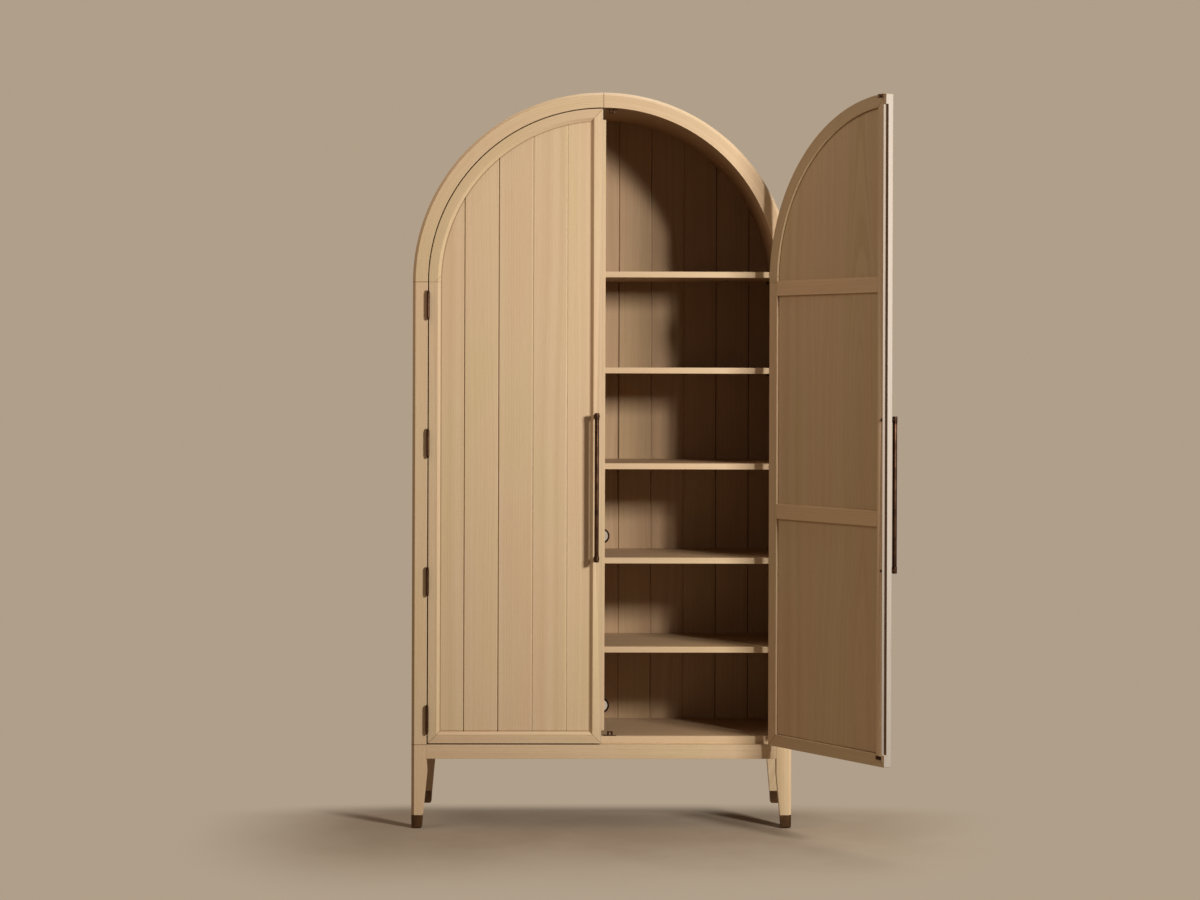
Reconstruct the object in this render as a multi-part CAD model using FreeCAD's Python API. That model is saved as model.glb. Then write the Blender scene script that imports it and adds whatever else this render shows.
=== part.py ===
# A tall oak cabinet with an arched top, two doors that fill the arch, five shelves,
# and four tapered legs that stand in bronze caps. All lengths are in millimetres.
# X runs to the right, Y to the back and Z up, from the middle of the footprint on the floor.
# The left door is shut. The right door stands open, as it is at rest.
import FreeCAD
import Part
import math
import os

Vector = FreeCAD.Vector
UP = Vector(0, 0, 1)
BACKWARD = Vector(0, 1, 0)
SIDEWAYS = Vector(1, 0, 0)
ORIGIN = Vector(0, 0, 0)

# Overall form
overall_width = 1118.0
overall_depth = 457.0
leg_frame_height = 246.0
post_height = 1359.0
wall_thickness = 44.5
outer_chamfer = 8.5

# Case
glue_clearance = 0.1
bottom_thickness = 22.0
bottom_setback = 26.0
bottom_lipping_width = 12.0
bottom_tongue_length = 8.0
bottom_tongue_thickness = 14.0
back_inset = 33.0
back_board_thickness = 12.0
back_rabbet_width = 10.0
back_edge_clearance = 1.0
board_pitch = 101.0
back_groove_width = 5.0
dowel_radius = 5.0
dowel_length = 40.0
dowel_end_clearance = 1.0
dowel_inset = 120.0

# Shelves
first_shelf_top = 531.5
second_shelf_top = 794.5
third_shelf_top = 1073.0
fourth_shelf_top = 1356.0
fifth_shelf_above_springing = 34.5
shelf_thickness = 18.0
shelf_setback = 32.0
shelf_end_clearance = 1.0
shelf_edge_chamfer = 1.0
pin_radius = 2.5
pin_sunk_length = 10.0
paddle_length = 9.0
paddle_width = 8.0
paddle_thickness = 1.6
pin_inset = 50.0

# Cord holes in the back
cord_hole_rise = 38.0
cord_hole_radius = 21.0
grommet_clearance = 0.2
grommet_wall = 2.0
grommet_flange_radius = 24.0
grommet_flange_thickness = 1.6

# Leg frame
leg_width = wall_thickness
leg_foot_width = 33.5
taper_start_height = 160.0
cap_height = 39.0
cap_base_width = 31.0
cap_wall = 3.0
corner_share = 2 - math.sqrt(2)
cap_floor = 7.0
cap_base_bevel = 3.5
spigot_clearance = 0.2
apron_height = 41.0
apron_thickness = 36.0
tenon_length = 12.0
tenon_thickness = 12.0
tenon_shoulder = 5.0

# Doors
door_gap = 3.5
meeting_gap = 3.0
door_floor_gap = 4.0
door_thickness = 25.4
frame_flat = 26.0
frame_bevel = 8.5
panel_groove_depth = 10.0
panel_edge_clearance = 0.5
door_board_thickness = 6.4
backing_thickness = 4.0
door_groove_width = 5.0
door_board_pitch = 100.6
door_board_count = 5
cross_rail_height = 43.0
lower_cross_rail_centre = 937.0
upper_cross_rail_drop = 17.0
lip_overlap = 8.6
lip_seat_width = 10.0
lip_thickness = 7.4
lip_bottom_rise = 36.0
lip_top_drop = 31.0
rebate_width = 10.7
rebate_depth = 8.4
opening_degrees = 125.0

# Hinges
hinge_count = 4
lowest_hinge_rise = 74.5
highest_hinge_drop = 68.0
hinge_axis_reach = 6.5
barrel_radius = 6.1
hinge_pin_radius = 2.5
hinge_pin_clearance = 0.05
knuckle_count = 5
leaf_height = 70.0
leaf_depth = 22.0
leaf_thickness = 2.0
leaf_relief = 0.4
knuckle_gap = 0.4
mortise_clearance = 0.1
finial_height = 9.5
finial_shoulder_height = 3.5
finial_shoulder_radius = 5.4
finial_crown_height = 7.5
finial_crown_radius = 3.6
finial_tip_radius = 1.6

# Handles
handle_centre_height = 1003.0
handle_length = 437.5
handle_post_inset = 9.5
handle_from_edge = 15.5
handle_reach = 24.0
handle_radius = 6.2
ferrule_radius = 7.2
ferrule_length = 19.0
ferrule_rounding = 2.0
post_radius = 5.6
rosette_radius = 8.5
rosette_thickness = 2.5
rosette_cone_height = 2.5
handle_screw_radius = 2.0
handle_screw_clearance = 0.2
handle_screw_head_radius = 3.2
handle_screw_head_height = 1.4
handle_screw_depth = 12.0

# Double ball catches
catch_from_centre = 24.4
catch_front_clearance = 2.6
catch_flange_width = 38.0
catch_flange_thickness = 1.6
catch_width = 17.2
catch_height = 13.0
catch_depth = 9.0
catch_slot_width = 5.6
catch_bridge = 1.4
ball_radius = 2.3
ball_rise = 8.5
ball_centre_offset = 4.3
ball_bore_clearance = 0.05
ball_bore_end = 7.8
strike_width = 22.0
strike_height = 10.5
strike_thickness = 1.6
strike_drop = 2.0
tongue_height = 3.6
tongue_thickness = 1.4
tongue_length = 9.0
tongue_bulb_radius = 1.4

# Flats round each small turned piece
handle_flat_count = 10
hinge_flat_count = 8
grommet_flat_count = 14
small_flat_count = 6
ball_band_count = 5

# Places worked out from the sizes above
half_width = overall_width / 2
half_depth = overall_depth / 2
front = -half_depth
back = half_depth
springing = leg_frame_height + post_height
inner_radius = half_width - wall_thickness
bottom_top = leg_frame_height + bottom_thickness
back_face = back - back_inset - back_board_thickness
fifth_shelf_top = springing + fifth_shelf_above_springing
shelf_tops = (first_shelf_top, second_shelf_top, third_shelf_top, fourth_shelf_top, fifth_shelf_top)
door_back = front + door_thickness
door_radius = inner_radius - door_gap
door_bottom = leg_frame_height + door_floor_gap
door_edge = -meeting_gap / 2
frame_width = frame_flat + frame_bevel
panel_front = front + frame_bevel
backing_front = panel_front + door_board_thickness
recess_front = backing_front + backing_thickness
cross_rail_centres = (lower_cross_rail_centre, springing - upper_cross_rail_drop)
lip_bottom = door_bottom + lip_bottom_rise
lip_top = springing + door_radius - lip_top_drop
lowest_hinge = leg_frame_height + lowest_hinge_rise
hinge_pitch = (springing - highest_hinge_drop - lowest_hinge) / (hinge_count - 1)
hinge_heights = [lowest_hinge + hinge_pitch * number for number in range(hinge_count)]
hinge_x = -(inner_radius - door_gap / 2)
hinge_y = front - hinge_axis_reach
knuckle_height = (leaf_height - (knuckle_count - 1) * knuckle_gap) / knuckle_count
handle_x = door_edge - handle_from_edge
handle_y = front - handle_reach
catch_front = door_back + catch_front_clearance
ball_y = catch_front + catch_depth / 2
wall_centre = half_width - wall_thickness / 2


def box(x0, x1, y0, y1, z0, z1):
    """A block between two corners."""
    return Part.makeBox(x1 - x0, y1 - y0, z1 - z0, Vector(x0, y0, z0))


def rod(radius, length, start, direction):
    """A round bar from its start point along a direction."""
    return Part.makeCylinder(radius, length, start, direction)


def prism(outline, y0, y1):
    """A polygon of (x, z) points carried from one depth to another."""
    points = [Vector(x, y0, z) for x, z in outline]
    face = Part.Face(Part.makePolygon(points + points[:1]))
    return face.extrude(BACKWARD * (y1 - y0))


def turned(outline, flats, base, direction):
    """A closed (radius, height) outline turned in flats about the line from base along direction."""
    faces = []
    for number in range(flats):
        corners = []
        for step in (number, number + 1):
            angle = math.tau * step / flats
            corners.append([Vector(radius * math.cos(angle), radius * math.sin(angle), height)
                            for radius, height in outline])
        here, there = corners
        for end in range(len(outline)):
            ring = [here[end - 1], there[end - 1], there[end], here[end]]
            ring = [point for place, point in enumerate(ring) if point != ring[place - 1]]
            if len(ring) > 2:
                faces.append(Part.Face(Part.makePolygon(ring + ring[:1])))
    solid = Part.Solid(Part.Shell(faces)).removeSplitter()
    if solid.Volume < 0:
        solid = solid.reversed()
    solid.Placement = FreeCAD.Placement(base, FreeCAD.Rotation(UP, direction))
    return solid


def small_rod(radius, length, start, direction, flats=small_flat_count):
    """A slim bar whose corners lie on its radius."""
    return turned([(0, 0), (radius, 0), (radius, length), (0, length)], flats, start, direction)


def clear_of(radius, flats):
    """The corner radius of a bore whose flats clear a round of this radius."""
    return radius / math.cos(math.pi / flats)


def arch_slab(radius, bottom, y0, y1):
    """An upright slab with straight sides and a half round top of the given radius."""
    low_left = Vector(-radius, y0, bottom)
    high_left = Vector(-radius, y0, springing)
    crown = Vector(0, y0, springing + radius)
    high_right = Vector(radius, y0, springing)
    low_right = Vector(radius, y0, bottom)
    lines = [
        Part.LineSegment(low_left, high_left),
        Part.Arc(high_left, crown, high_right),
        Part.LineSegment(high_right, low_right),
        Part.LineSegment(low_right, low_left),
    ]
    face = Part.Face(Part.Wire([line.toShape() for line in lines]))
    return face.extrude(BACKWARD * (y1 - y0))


def chamfered(solid, size, is_wanted):
    """The solid with every edge that is_wanted picks cut off at 45 degrees."""
    return solid.makeChamfer(size, [edge for edge in solid.Edges if is_wanted(edge)])


def lies_at(edge, axis, place):
    """Is the whole edge at this place along an axis?"""
    bounds = edge.BoundBox
    low = getattr(bounds, axis + "Min")
    high = getattr(bounds, axis + "Max")
    return abs(low - place) < glue_clearance and abs(high - place) < glue_clearance


def mirrored_x(shape):
    return shape.mirror(ORIGIN, SIDEWAYS)


def mirrored_y(shape):
    return shape.mirror(ORIGIN, BACKWARD)


def cut_all(shape, cutters):
    return shape.cut(Part.makeCompound(cutters))


def half_opening(z):
    """Half the inside width of the case at a height."""
    rise = max(z - springing, 0)
    return math.sqrt(inner_radius ** 2 - rise ** 2)


# Case

def dowel_places():
    """The middle and the direction of each dowel that lines up two pieces of the case."""
    places = []
    for side in (-1, 1):
        for y in (front + dowel_inset, back_face - dowel_inset):
            places.append((Vector(side * wall_centre, y, springing), UP))
        for y in (front + leg_width / 2, back - leg_width / 2):
            places.append((Vector(side * wall_centre, y, leg_frame_height), UP))
    for y in (front + dowel_inset, back_face - dowel_inset):
        places.append((Vector(0, y, springing + wall_centre), SIDEWAYS))
    return places


def dowels():
    shapes = []
    for middle, direction in dowel_places():
        start = middle - direction * (dowel_length / 2)
        shapes.append(small_rod(dowel_radius, dowel_length, start, direction))
    return shapes


def dowel_holes():
    shapes = []
    for middle, direction in dowel_places():
        length = dowel_length + 2 * dowel_end_clearance
        start = middle - direction * (length / 2)
        shapes.append(small_rod(dowel_radius + glue_clearance, length, start, direction))
    return shapes


def pin_places(top):
    """Where the four supports of a shelf leave the walls, with the side that each is on."""
    z = top - shelf_thickness - paddle_thickness - pin_radius
    places = []
    for side in (-1, 1):
        for y in (front + shelf_setback + pin_inset, back_face - pin_inset):
            places.append((side, Vector(side * half_opening(z), y, z)))
    return places


def shelf_pin(side, place):
    """A round pin with a flat paddle on top that carries the shelf."""
    sunk = small_rod(pin_radius, pin_sunk_length + paddle_length, place + SIDEWAYS * (side * pin_sunk_length),
                     SIDEWAYS * -side)
    x0 = place.x - side * shelf_end_clearance / 2
    x1 = place.x - side * paddle_length
    paddle = box(min(x0, x1), max(x0, x1), place.y - paddle_width / 2, place.y + paddle_width / 2,
                 place.z, place.z + pin_radius + paddle_thickness)
    return sunk.fuse(paddle)


def pin_hole(side, place):
    depth = pin_sunk_length + dowel_end_clearance
    return small_rod(pin_radius + glue_clearance, depth + shelf_end_clearance,
                     place + SIDEWAYS * (side * depth), SIDEWAYS * -side)


def leaf_mortise(height, x):
    """The shallow seat of a hinge leaf, cut outwards from the gap beside the door."""
    half = leaf_height / 2 + mortise_clearance
    depth = leaf_depth + mortise_clearance
    return box(x, x + leaf_thickness, front, front + depth, height - half, height + half)


def case_shell():
    """The two posts and the arch as one shape, with the seats that are cut in them."""
    outer = arch_slab(half_width, leg_frame_height, front, back)
    outer = chamfered(outer, outer_chamfer, lambda edge: lies_at(edge, "Y", front)
                      and not lies_at(edge, "Z", leg_frame_height))
    opening = arch_slab(inner_radius, leg_frame_height, front, back)
    rabbet = arch_slab(inner_radius + back_rabbet_width, leg_frame_height, back_face, back)
    housing_x = inner_radius + bottom_tongue_length + glue_clearance
    housing = box(-housing_x, housing_x, front + bottom_setback - glue_clearance, back_face,
                  leg_frame_height, leg_frame_height + bottom_tongue_thickness + glue_clearance)
    cutters = [opening, rabbet, housing] + dowel_holes()
    for top in shelf_tops:
        cutters += [pin_hole(side, place) for side, place in pin_places(top)]
    for height in hinge_heights:
        left = leaf_mortise(height, -inner_radius - leaf_thickness)
        cutters += [left, mirrored_x(left)]
    return cut_all(outer, cutters)


def posts_and_arch():
    shell = case_shell()
    lower = (leg_frame_height, springing)
    upper = (springing, springing + half_width)
    left = (-half_width, 0)
    right = (0, half_width)
    pieces = {}
    for name, (x0, x1), (z0, z1) in (
        ("side_left", left, lower),
        ("side_right", right, lower),
        ("arch_left", left, upper),
        ("arch_right", right, upper),
    ):
        pieces[name] = shell.common(box(x0, x1, front, back, z0, z1))
    return pieces


def tongued_board(y0, y1):
    """A board between the posts with a tongue at each end, let into the posts."""
    board = box(-inner_radius, inner_radius, y0, y1, leg_frame_height, bottom_top)
    reach = inner_radius + bottom_tongue_length
    tongue_top = leg_frame_height + bottom_tongue_thickness
    return board.fuse(box(-reach, reach, y0, y1, leg_frame_height, tongue_top))


def bottom_boards():
    """The bottom panel and the lipping along its front edge, which carries the lower catches."""
    joint = front + bottom_setback + bottom_lipping_width
    return {
        "bottom_panel": tongued_board(joint, back_face).removeSplitter(),
        "bottom_lipping": tongued_board(front + bottom_setback, joint).removeSplitter(),
    }


def cord_hole_heights():
    """One hole just above the bottom and one just above the second shelf from the bottom."""
    return (bottom_top + cord_hole_rise, shelf_tops[1] + cord_hole_rise)


def board_slab(slab, joints, groove_width):
    """Upright boards cut from one slab, with a V on the front of each joint between them."""
    bounds = slab.BoundBox
    depth = groove_width / 2
    grooves = []
    for x in joints:
        outline = [Vector(x - depth, bounds.YMin, bounds.ZMin), Vector(x + depth, bounds.YMin, bounds.ZMin),
                   Vector(x, bounds.YMin + depth, bounds.ZMin)]
        face = Part.Face(Part.makePolygon(outline + outline[:1]))
        grooves.append(face.extrude(UP * bounds.ZLength))
    slab = cut_all(slab, grooves)
    edges = [bounds.XMin] + list(joints) + [bounds.XMax]
    return [
        slab.common(box(x0, x1, bounds.YMin, bounds.YMax, bounds.ZMin, bounds.ZMax))
        for x0, x1 in zip(edges, edges[1:])
    ]


def board_lengths(board):
    """A board in three lengths that meet behind the second and third shelves."""
    bounds = board.BoundBox
    joints = [top - shelf_thickness / 2 for top in (second_shelf_top, third_shelf_top)]
    levels = [bounds.ZMin] + joints + [bounds.ZMax]
    return [
        board.common(box(bounds.XMin, bounds.XMax, bounds.YMin, bounds.YMax, z0, z1))
        for z0, z1 in zip(levels, levels[1:])
    ]


def back_boards():
    """Eleven boards across the back, the middle one bored for cords and made in lengths."""
    radius = inner_radius + back_rabbet_width - back_edge_clearance
    slab = arch_slab(radius, leg_frame_height, back_face, back_face + back_board_thickness)
    holes = [
        rod(cord_hole_radius, back_board_thickness, Vector(0, back_face, height), BACKWARD)
        for height in cord_hole_heights()
    ]
    half_boards = int(radius // board_pitch)
    joints = [board_pitch * (step + 1 / 2) for step in range(-half_boards, half_boards)]
    boards = board_slab(cut_all(slab, holes), joints, back_groove_width)
    middle = len(boards) // 2
    return boards[:middle] + boards[middle + 1:], board_lengths(boards[middle])


def cord_grommet(height):
    """A sleeve through the back with a thin flange on the inside of the cabinet."""
    outer = cord_hole_radius - grommet_clearance
    inner = outer - grommet_wall
    outline = [
        (inner, -grommet_flange_thickness),
        (grommet_flange_radius - grommet_flange_thickness / 2, -grommet_flange_thickness),
        (grommet_flange_radius, -grommet_flange_thickness / 2),
        (grommet_flange_radius, 0),
        (outer, 0),
        (outer, back_board_thickness),
        (inner, back_board_thickness),
    ]
    return turned(outline, grommet_flat_count, Vector(0, back_face, height), BACKWARD)


def shelf(top):
    reach = half_opening(top) - shelf_end_clearance
    y0 = front + shelf_setback
    board = box(-reach, reach, y0, back_face - shelf_end_clearance, top - shelf_thickness, top)
    return chamfered(board, shelf_edge_chamfer, lambda edge: lies_at(edge, "Y", y0)
                     and edge.BoundBox.XLength > reach)


# Leg frame. The front left leg is drawn and the others are its mirror images.

def corner_square(width, z, inset):
    """The corners of a square whose outer corner is the front left corner of the footprint."""
    x0 = -half_width + inset
    y0 = front + inset
    return [Vector(x0, y0, z), Vector(x0 + width, y0, z), Vector(x0 + width, y0 + width, z),
            Vector(x0, y0 + width, z)]


def corner_block(low_width, low_z, high_width, high_z, inset=0.0):
    """A square block in that corner, straight on its two outer sides and tapered on the others."""
    low = corner_square(low_width, low_z, inset)
    high = corner_square(high_width, high_z, inset)
    rings = [low[::-1], high]
    for end in range(len(low)):
        rings.append([low[end - 1], low[end], high[end], high[end - 1]])
    faces = [Part.Face(Part.makePolygon(ring + ring[:1])) for ring in rings]
    return Part.Solid(Part.Shell(faces))


def corner_chamfer(solid, size, inset=0.0):
    """Cuts the upright edge at the front left corner."""
    return chamfered(solid, size, lambda edge: lies_at(edge, "X", -half_width + inset)
                     and lies_at(edge, "Y", front + inset))


def spigot_block(clearance, bottom, is_front):
    """The foot of the leg that stands inside the cap, or with a clearance the cap's socket."""
    inset = cap_wall - clearance
    width = cap_base_width - 2 * cap_wall + 2 * clearance
    block = corner_block(width, bottom, width, cap_height, inset)
    if is_front:
        block = corner_chamfer(block, outer_chamfer - cap_wall * corner_share, inset)
    return block


def leg(is_front):
    straight = corner_block(leg_width, taper_start_height, leg_width, leg_frame_height)
    tapered = corner_block(leg_foot_width, cap_height, leg_width, taper_start_height)
    post = straight.fuse(tapered).removeSplitter()
    if is_front:
        post = corner_chamfer(post, outer_chamfer)
    post = post.fuse(spigot_block(0.0, cap_floor + spigot_clearance, is_front)).removeSplitter()
    mortises = [apron_tenon_x(glue_clearance), apron_tenon_y(glue_clearance)]
    return cut_all(post, mortises + dowel_holes())


def foot_cap(is_front):
    cap = corner_block(cap_base_width, 0, leg_foot_width, cap_height)
    if is_front:
        cap = corner_chamfer(cap, outer_chamfer)
    cap = chamfered(cap, cap_base_bevel, lambda edge: lies_at(edge, "Z", 0))
    return cap.cut(spigot_block(spigot_clearance, cap_floor, is_front))


def tenon_heights(clearance):
    top = leg_frame_height - tenon_shoulder
    bottom = leg_frame_height - apron_height + tenon_shoulder
    return bottom - clearance, top + clearance


def apron_tenon_x(clearance):
    """The tenon of the front apron in the front left leg, or with a clearance its mortise."""
    z0, z1 = tenon_heights(clearance)
    x1 = -half_width + leg_width
    y = front + apron_thickness / 2
    half = tenon_thickness / 2 + clearance
    return box(x1 - tenon_length - clearance, x1, y - half, y + half, z0, z1)


def apron_tenon_y(clearance):
    """The tenon of the left apron in the front left leg, or with a clearance its mortise."""
    z0, z1 = tenon_heights(clearance)
    y1 = front + leg_width
    x = -half_width + apron_thickness / 2
    half = tenon_thickness / 2 + clearance
    return box(x - half, x + half, y1 - tenon_length - clearance, y1, z0, z1)


def front_apron():
    reach = half_width - leg_width
    rail = box(-reach, reach, front, front + apron_thickness,
               leg_frame_height - apron_height, leg_frame_height)
    tenon = apron_tenon_x(0.0)
    return rail.fuse([tenon, mirrored_x(tenon)])


def left_apron():
    reach = half_depth - leg_width
    rail = box(-half_width, -half_width + apron_thickness, -reach, reach,
               leg_frame_height - apron_height, leg_frame_height)
    tenon = apron_tenon_y(0.0)
    return rail.fuse([tenon, mirrored_y(tenon)])


def leg_frame():
    front_leg = leg(True)
    back_leg = mirrored_y(leg(False))
    front_cap = foot_cap(True)
    back_cap = mirrored_y(foot_cap(False))
    return {
        "leg_front_left": front_leg,
        "leg_front_right": mirrored_x(front_leg),
        "leg_back_left": back_leg,
        "leg_back_right": mirrored_x(back_leg),
        "foot_caps": [front_cap, mirrored_x(front_cap), back_cap, mirrored_x(back_cap)],
        "apron_front": front_apron(),
        "apron_back": mirrored_y(front_apron()),
        "apron_left": left_apron(),
        "apron_right": mirrored_x(left_apron()),
    }


# Hinges on the left, with the door shut. The right ones are their mirror images.

def knuckle_base(height, number):
    return height - leaf_height / 2 + number * (knuckle_height + knuckle_gap)


def hinge_leaf(height, plate_x, numbers):
    """A leaf let into the wood, with a web from its plate to each of its own knuckles."""
    leaf = box(plate_x, plate_x + leaf_thickness, front + leaf_relief, front + leaf_depth,
               height - leaf_height / 2, height + leaf_height / 2)
    additions = []
    for number in numbers:
        base = knuckle_base(height, number)
        start = Vector(hinge_x, hinge_y, base)
        additions.append(small_rod(barrel_radius, knuckle_height, start, UP, hinge_flat_count))
        additions.append(box(plate_x, plate_x + leaf_thickness, hinge_y, front + leaf_relief,
                             base, base + knuckle_height))
    leaf = leaf.fuse(additions)
    bore_radius = clear_of(hinge_pin_radius + hinge_pin_clearance, small_flat_count)
    bore = small_rod(bore_radius, leaf_height, Vector(hinge_x, hinge_y, height - leaf_height / 2), UP)
    return leaf.cut(bore)


def case_leaf(height):
    return hinge_leaf(height, -inner_radius - leaf_thickness, range(0, knuckle_count, 2))


def door_leaf(height):
    return hinge_leaf(height, -door_radius, range(1, knuckle_count, 2))


def hinge_pin(height):
    """A pin with an acorn finial at each end."""
    outline = [
        (0, 0),
        (barrel_radius, 0),
        (finial_shoulder_radius, finial_shoulder_height),
        (finial_crown_radius, finial_crown_height),
        (finial_tip_radius, finial_height),
        (0, finial_height),
    ]
    top = Vector(hinge_x, hinge_y, height + leaf_height / 2)
    bottom = Vector(hinge_x, hinge_y, height - leaf_height / 2)
    shaft = rod(hinge_pin_radius, leaf_height, bottom, UP)
    finials = [
        turned(outline, hinge_flat_count, top, UP),
        turned(outline, hinge_flat_count, bottom, UP * -1),
    ]
    return shaft.fuse(finials)


# Doors, drawn shut on the left

def door_slab(inset, y0, y1):
    """The outline of a door, drawn in by an inset on every edge."""
    slab = arch_slab(door_radius - inset, door_bottom + inset, y0, y1)
    reach = door_radius - inset
    return slab.common(box(-reach, door_edge - inset, y0, y1, door_bottom, springing + reach))


def door_frame():
    """The whole frame, bevelled on the front and grooved for its panel."""
    frame = door_slab(0.0, front, door_back).cut(door_slab(frame_width, front, door_back))
    bevel = bevel_cutter()
    groove = door_slab(frame_width - panel_groove_depth, panel_front, recess_front)
    cutters = [bevel, groove]
    for height in hinge_heights:
        cutters.append(leaf_mortise(height, -door_radius))
    cutters += handle_screw_holes()
    return cut_all(frame, cutters)


def bevel_outline(inset, y):
    """The inner outline of the frame at a depth, as one wire."""
    reach = door_radius - inset
    right = door_edge - inset
    low = door_bottom + inset
    crown = math.sqrt(reach ** 2 - right ** 2)
    middle = (math.pi + math.atan2(crown, right)) / 2
    corner = Vector(right, y, springing + crown)
    lines = [
        Part.LineSegment(Vector(-reach, y, low), Vector(-reach, y, springing)),
        Part.Arc(Vector(-reach, y, springing),
                 Vector(reach * math.cos(middle), y, springing + reach * math.sin(middle)), corner),
        Part.LineSegment(corner, Vector(right, y, low)),
        Part.LineSegment(Vector(right, y, low), Vector(-reach, y, low)),
    ]
    return Part.Wire([line.toShape() for line in lines])


def bevel_cutter():
    """The waste of the bevel round the inside of the frame."""
    outlines = [bevel_outline(frame_flat, front), bevel_outline(frame_width, panel_front)]
    return Part.makeLoft(outlines, True, True)


def frame_members():
    """The frame parted at its mitres and at the springing."""
    frame = door_frame()
    outer_x = -door_radius
    inner_x = outer_x + frame_width
    edge_x = door_edge
    stile_x = edge_x - frame_width
    low = door_bottom
    rail_top = low + frame_width
    outer_crown = springing + math.sqrt(door_radius ** 2 - edge_x ** 2)
    inner_crown = springing + math.sqrt((door_radius - frame_width) ** 2 - stile_x ** 2)
    hinge_side = prism([(outer_x, low), (inner_x, rail_top), (inner_x, springing), (outer_x, springing)],
                       front, door_back)
    meeting_side = prism([(edge_x, low), (edge_x, outer_crown), (stile_x, inner_crown), (stile_x, rail_top)],
                         front, door_back)
    foot = prism([(outer_x, low), (edge_x, low), (stile_x, rail_top), (inner_x, rail_top)], front, door_back)
    above = box(outer_x, edge_x, front, door_back, springing, springing + door_radius)
    return {
        "hinge_stile": frame.common(hinge_side),
        "meeting_stile": frame.common(meeting_side),
        "bottom_rail": frame.common(foot),
        "arch_rail": frame.common(above).cut(meeting_side),
    }


def door_boards():
    """Five boards that show on the front, held in the groove of the frame."""
    slab = door_slab(frame_width - panel_groove_depth + panel_edge_clearance, panel_front, backing_front)
    middle = (door_edge - door_radius) / 2
    first_step = (door_board_count - 2) / 2
    joints = [middle + door_board_pitch * (step - first_step) for step in range(door_board_count - 1)]
    return board_slab(slab, joints, door_groove_width)


def backing_panel():
    return door_slab(frame_width - panel_groove_depth + panel_edge_clearance, backing_front, recess_front)


def cross_rails():
    opening = door_slab(frame_width, recess_front, door_back)
    half = cross_rail_height / 2
    return [
        opening.common(box(-door_radius, door_edge, recess_front, door_back, height - half, height + half))
        for height in cross_rail_centres
    ]


def lip_strip(clearance):
    """The strip that covers the gap between the doors, or with a clearance its seat."""
    return box(door_edge - lip_seat_width - clearance, door_edge + lip_overlap,
               door_back - lip_thickness - clearance, door_back, lip_bottom - clearance, lip_top + clearance)


def stopped_rebate():
    """The rebate in the other door's edge that the strip closes into."""
    extra = door_floor_gap / 2
    return box(door_edge - rebate_width, door_edge, door_back - rebate_depth, door_back,
               lip_bottom - extra, lip_top + extra)


def handle_post_heights():
    half = handle_length / 2 - handle_post_inset
    return [handle_centre_height - half, handle_centre_height + half]


def handle_screw_holes():
    radius = clear_of(handle_screw_radius + handle_screw_clearance, small_flat_count)
    return [
        small_rod(radius, door_thickness, Vector(handle_x, front, height), BACKWARD)
        for height in handle_post_heights()
    ]


def handle_bar():
    """A round bar with a thicker ferrule at each end, where the posts meet it."""
    half = handle_length / 2
    upper = [
        (handle_radius, half - ferrule_length),
        (ferrule_radius, half - ferrule_length),
        (ferrule_radius, half - ferrule_rounding),
        (ferrule_radius - ferrule_rounding, half),
        (0, half),
    ]
    lower = [(radius, -height) for radius, height in reversed(upper)]
    return turned(lower + upper, handle_flat_count, Vector(handle_x, handle_y, handle_centre_height), UP)


def handle_post(height, bar):
    """A round post on a rosette, coped to the bar and tapped for its screw."""
    outline = [
        (0, 0),
        (rosette_radius, 0),
        (rosette_radius, rosette_thickness),
        (post_radius, rosette_thickness + rosette_cone_height),
        (post_radius, handle_reach),
        (0, handle_reach),
    ]
    post = turned(outline, hinge_flat_count, Vector(handle_x, front, height), BACKWARD * -1)
    thread = small_rod(handle_screw_radius, handle_screw_depth + dowel_end_clearance,
                       Vector(handle_x, front, height), BACKWARD * -1)
    return post.cut(thread).cut(bar)


def handle():
    bar = handle_bar()
    return [bar] + [handle_post(height, bar) for height in handle_post_heights()]


def handle_screws():
    outline = [
        (0, 0),
        (handle_screw_head_radius, 0),
        (handle_screw_head_radius, handle_screw_head_height / 2),
        (handle_screw_head_radius / 2, handle_screw_head_height),
        (0, handle_screw_head_height),
    ]
    screws = []
    for height in handle_post_heights():
        head = turned(outline, hinge_flat_count, Vector(handle_x, door_back, height), BACKWARD)
        shank = small_rod(handle_screw_radius, door_thickness + handle_screw_depth,
                          Vector(handle_x, door_back, height), BACKWARD * -1)
        screws.append(head.fuse(shank))
    return screws


# Catches of the left door, above and below. The upper one is the lower one turned over.

def catch_seats():
    """Each catch's mounting surface, with 1 where it stands up from it and -1 where it hangs."""
    arch = springing + math.sqrt(inner_radius ** 2 - (catch_from_centre + catch_flange_width / 2) ** 2)
    return {"bottom": (bottom_top, 1), "top": (arch, -1)}


def flipped(shape, seat, direction):
    """Carries a shape drawn standing on the floor to a catch's seat."""
    if direction < 0:
        shape = shape.mirror(ORIGIN, UP)
    return shape.translated(UP * seat)


def catch_housing():
    """A bridge with a slot for the tongue, and a bore on each side for a sprung ball."""
    x = -catch_from_centre
    y1 = catch_front + catch_depth
    half = catch_flange_width / 2
    flange = box(x - half, x + half, catch_front, y1, 0, catch_flange_thickness)
    bridge = box(x - catch_width / 2, x + catch_width / 2, catch_front, y1, 0, catch_height)
    slot = box(x - catch_slot_width / 2, x + catch_slot_width / 2, catch_front, y1,
               catch_flange_thickness, catch_height - catch_bridge)
    bore_radius = clear_of(ball_radius + ball_bore_clearance, small_flat_count)
    bore = small_rod(bore_radius, 2 * ball_bore_end, Vector(x - ball_bore_end, ball_y, ball_rise), SIDEWAYS)
    return cut_all(flange.fuse(bridge), [slot, bore])


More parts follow.
